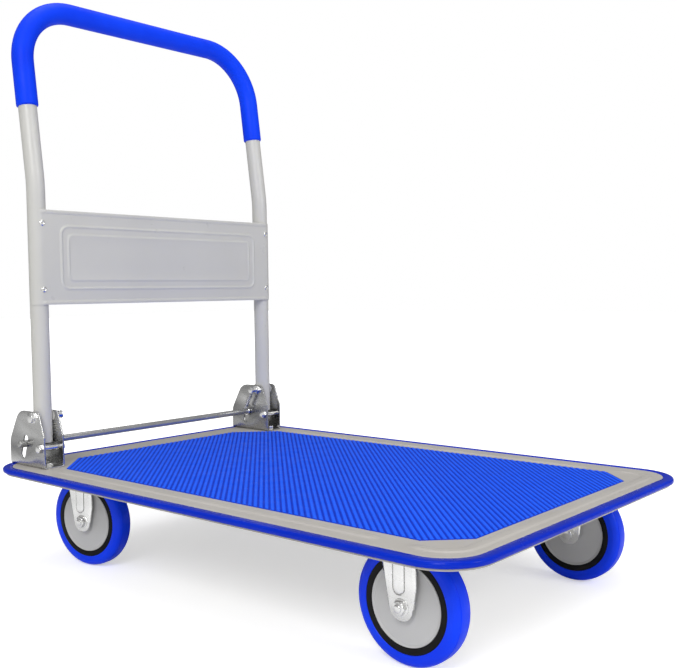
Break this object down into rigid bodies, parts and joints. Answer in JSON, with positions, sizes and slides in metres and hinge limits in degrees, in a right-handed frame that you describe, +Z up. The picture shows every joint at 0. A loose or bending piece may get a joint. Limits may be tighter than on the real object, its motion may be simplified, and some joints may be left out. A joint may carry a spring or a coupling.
{
  "type": "folding platform cart",
  "caption": "Flat push cart with a rubber-covered steel deck, edge bumper, rigid front and swivel rear casters, and a tube handle that folds flat after a lock rod is pressed down.",
  "frame": {"origin": "on the floor under the middle of the deck", "axes": "+X towards the front of the deck, away from the handle; +Y to the left; +Z up"},
  "size_m": [0.9, 0.6, 0.9075],
  "materials": {
    "deck_paint": "smooth warm grey powder coat",
    "frame_paint": "plain grey powder coat",
    "mat_rubber": "embossed blue vinyl rubber",
    "bumper_vinyl": "glossy dark blue vinyl",
    "handle_paint": "light grey powder coat",
    "grip_foam": "smooth blue soft vinyl",
    "chrome_rod": "polished",
    "tyre_blue": "smooth blue elastic tread",
    "rim_plastic": "black moulded plastic",
    "disc_paint": "light grey steel disc",
    "washer_nylon": "natural nylon",
    "zinc": "bright zinc plate"
  },
  "bodies": {
    "deck": {"deck_tray": "deck_paint", "deck_mat": "mat_rubber", "bumper": "bumper_vinyl", "deck_rails": "frame_paint", "deck_crossmembers": "frame_paint", "caster_studs": "zinc", "hinge_bracket_l": "zinc", "hinge_bracket_r": "zinc", "hinge_base_bolts": "zinc", "pivot_bolt_l": "zinc", "pivot_bolt_r": "zinc", "pivot_washers": "washer_nylon", "stop_pin_l": "zinc", "stop_pin_r": "zinc", "spring_l": "zinc", "spring_r": "zinc", "fork_fl": "zinc", "fork_fr": "zinc", "axle_fl": "zinc", "axle_fr": "zinc", "axle_nut_fl": "zinc", "axle_nut_fr": "zinc", "swivel_plate_rl": "zinc", "swivel_plate_rr": "zinc", "swivel_race_rl": "zinc", "swivel_race_rr": "zinc", "kingpin_rl": "zinc", "kingpin_rr": "zinc"},
    "lock": {"lock_rod": "chrome_rod", "rod_collars": "zinc"},
    "handle": {"handle_tube": "handle_paint", "handle_grip": "grip_foam", "handle_panel": "handle_paint", "panel_rivets": "zinc", "leg_plugs": "rim_plastic"},
    "swivel_rl": {"fork_rl": "zinc", "axle_rl": "zinc", "axle_nut_rl": "zinc"},
    "swivel_rr": {"fork_rr": "zinc", "axle_rr": "zinc", "axle_nut_rr": "zinc"},
    "wheel_fl": {"tyre_fl": "tyre_blue", "rim_fl": "rim_plastic", "discs_fl": "disc_paint", "hub_fl": "zinc"},
    "wheel_fr": {"tyre_fr": "tyre_blue", "rim_fr": "rim_plastic", "discs_fr": "disc_paint", "hub_fr": "zinc"},
    "wheel_rl": {"tyre_rl": "tyre_blue", "rim_rl": "rim_plastic", "discs_rl": "disc_paint", "hub_rl": "zinc"},
    "wheel_rr": {"tyre_rr": "tyre_blue", "rim_rr": "rim_plastic", "discs_rr": "disc_paint", "hub_rr": "zinc"}
  },
  "joints": [
    {"name": "handle_fold", "type": "hinge", "parent": "deck", "child": "handle", "pos_m": [-0.37, 0, 0.237], "axis": [0, 1, 0], "range_deg": [0, 90]},
    {"name": "lock_slide", "type": "slide", "parent": "deck", "child": "lock", "axis": [-0.3387, 0, -0.9409], "range_m": [0, 0.0175], "stiffness_N_per_m": 2000, "springref_m": -0.006, "deforming": ["spring_l", "spring_r"]},
    {"name": "swivel_left", "type": "hinge", "parent": "deck", "child": "swivel_rl", "pos_m": [-0.335, 0.204, 0.15], "axis": [0, 0, 1], "continuous": true},
    {"name": "swivel_right", "type": "hinge", "parent": "deck", "child": "swivel_rr", "pos_m": [-0.335, -0.204, 0.15], "axis": [0, 0, 1], "continuous": true},
    {"name": "spin_fl", "type": "hinge", "parent": "deck", "child": "wheel_fl", "pos_m": [0.321, 0.204, 0.0725], "axis": [0, 1, 0], "continuous": true},
    {"name": "spin_fr", "type": "hinge", "parent": "deck", "child": "wheel_fr", "pos_m": [0.321, -0.204, 0.0725], "axis": [0, 1, 0], "continuous": true},
    {"name": "spin_rl", "type": "hinge", "parent": "swivel_rl", "child": "wheel_rl", "pos_m": [-0.31, 0.204, 0.0725], "axis": [0, 1, 0], "continuous": true},
    {"name": "spin_rr", "type": "hinge", "parent": "swivel_rr", "child": "wheel_rr", "pos_m": [-0.31038, -0.19966, 0.0725], "axis": [-0.1736, 0.9848, 0], "continuous": true}
  ]
}
